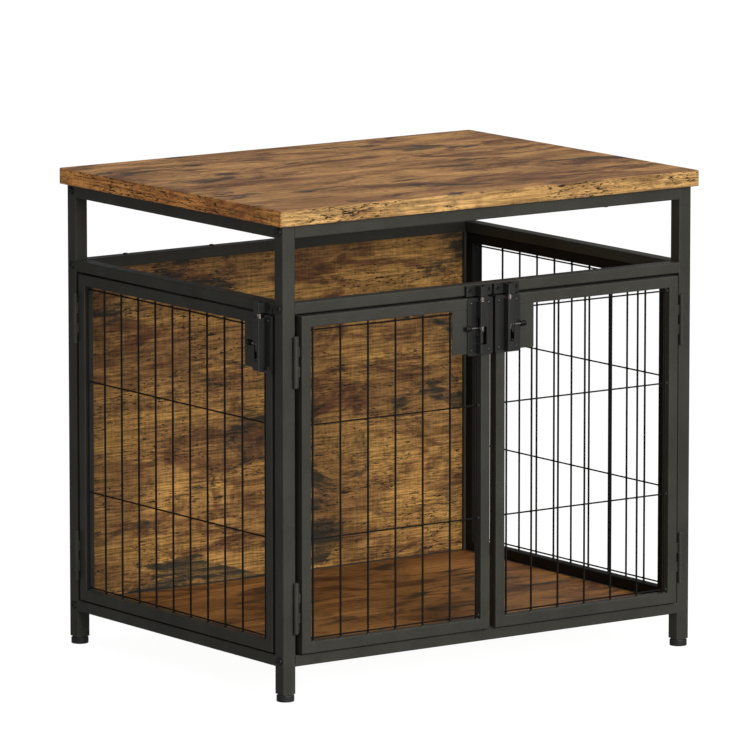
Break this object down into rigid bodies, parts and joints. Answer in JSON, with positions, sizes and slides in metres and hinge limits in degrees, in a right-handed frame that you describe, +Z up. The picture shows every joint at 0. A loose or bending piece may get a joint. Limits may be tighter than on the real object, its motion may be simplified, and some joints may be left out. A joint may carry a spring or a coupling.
{
  "type": "dog crate",
  "caption": "Furniture-style dog crate: square steel tube frame with wire doors on the front and one side, slide-bolt latches, wood back and floor panels and a wood table top.",
  "frame": {"origin": "on the floor under the middle of the crate", "axes": "+X along the front towards the viewer's right, +Y from the front doors to the back panel, +Z up"},
  "size_m": [0.706, 0.5437, 0.664],
  "materials": {
    "frame_coat": "matte charcoal powder coat",
    "hardware_coat": "smooth black coat",
    "bright_steel": "bright zinc-plated steel",
    "screw_steel": "blackened steel",
    "foot_plastic": "matte black plastic",
    "table_wood": "rustic brown printed board",
    "panel_wood": "rustic brown printed board"
  },
  "bodies": {
    "crate": {"post_front_left": "frame_coat", "post_front_right": "frame_coat", "post_back_left": "frame_coat", "post_back_right": "frame_coat", "rail_front_top": "frame_coat", "rail_front_middle": "frame_coat", "rail_front_bottom": "frame_coat", "rail_back_top": "frame_coat", "rail_back_middle": "frame_coat", "rail_back_bottom": "frame_coat", "rail_left_top": "frame_coat", "rail_left_middle": "frame_coat", "rail_left_bottom": "frame_coat", "rail_right_top": "frame_coat", "rail_right_middle": "frame_coat", "rail_right_bottom": "frame_coat", "frame_screws": "screw_steel", "rail_end_nuts": "screw_steel", "foot_inserts": "foot_plastic", "table_top": "table_wood", "table_top_screws": "screw_steel", "floor_panel": "panel_wood", "floor_support_tabs": "frame_coat", "floor_panel_screws": "screw_steel", "back_panel": "panel_wood", "back_panel_screws": "screw_steel", "right_panel_frame": "frame_coat", "right_panel_wires": "frame_coat", "right_panel_screws": "screw_steel", "hinge_pins": "bright_steel", "keeper_screws": "screw_steel", "door_stops": "frame_coat", "front_left_keeper": "hardware_coat", "front_left_hinge_frame_leaves": "frame_coat", "front_right_keeper": "hardware_coat", "front_right_hinge_frame_leaves": "frame_coat", "side_keeper": "hardware_coat", "side_hinge_frame_leaves": "frame_coat"},
    "front_left_door": {"front_left_door_frame": "frame_coat", "front_left_door_wires": "frame_coat", "front_left_latch_plate": "hardware_coat", "front_left_latch_housing": "hardware_coat", "front_left_hinge_door_leaves": "frame_coat"},
    "front_left_bolt": {"front_left_latch_bolt": "bright_steel"},
    "front_right_door": {"front_right_door_frame": "frame_coat", "front_right_door_wires": "frame_coat", "front_right_latch_plate": "hardware_coat", "front_right_latch_housing": "hardware_coat", "front_right_hinge_door_leaves": "frame_coat"},
    "front_right_bolt": {"front_right_latch_bolt": "bright_steel"},
    "side_door": {"side_door_frame": "frame_coat", "side_door_wires": "frame_coat", "side_latch_plate": "hardware_coat", "side_latch_housing": "hardware_coat", "side_hinge_door_leaves": "frame_coat"},
    "side_bolt": {"side_latch_bolt": "bright_steel"},
    "levelling_foot_front_left": {"foot_front_left": "foot_plastic"},
    "levelling_foot_front_right": {"foot_front_right": "foot_plastic"},
    "levelling_foot_back_left": {"foot_back_left": "foot_plastic"},
    "levelling_foot_back_right": {"foot_back_right": "foot_plastic"}
  },
  "joints": [
    {"name": "front_left_door_hinge", "type": "hinge", "parent": "crate", "child": "front_left_door", "pos_m": [-0.3239, -0.262, 0], "axis": [0, 0, -1], "range_deg": [0, 170]},
    {"name": "front_right_door_hinge", "type": "hinge", "parent": "crate", "child": "front_right_door", "pos_m": [0.3239, -0.262, 0], "axis": [0, 0, 1], "range_deg": [0, 170]},
    {"name": "side_door_hinge", "type": "hinge", "parent": "crate", "child": "side_door", "pos_m": [-0.3453, 0.2355, 0], "axis": [0, 0, -1], "range_deg": [0, 170]},
    {"name": "front_left_bolt_slide", "type": "slide", "parent": "front_left_door", "child": "front_left_bolt", "axis": [0, 0, 1], "range_m": [-0.008, 0.011]},
    {"name": "front_right_bolt_slide", "type": "slide", "parent": "front_right_door", "child": "front_right_bolt", "axis": [0, 0, 1], "range_m": [-0.008, 0.011]},
    {"name": "side_bolt_slide", "type": "slide", "parent": "side_door", "child": "side_bolt", "axis": [0, 0, 1], "range_m": [-0.008, 0.011]},
    {"name": "levelling_foot_front_left", "type": "slide", "parent": "crate", "child": "levelling_foot_front_left", "axis": [0, 0, -1], "range_m": [0, 0.008]},
    {"name": "levelling_foot_front_right", "type": "slide", "parent": "crate", "child": "levelling_foot_front_right", "axis": [0, 0, -1], "range_m": [0, 0.008]},
    {"name": "levelling_foot_back_left", "type": "slide", "parent": "crate", "child": "levelling_foot_back_left", "axis": [0, 0, -1], "range_m": [0, 0.008]},
    {"name": "levelling_foot_back_right", "type": "slide", "parent": "crate", "child": "levelling_foot_back_right", "axis": [0, 0, -1], "range_m": [0, 0.008]}
  ]
}
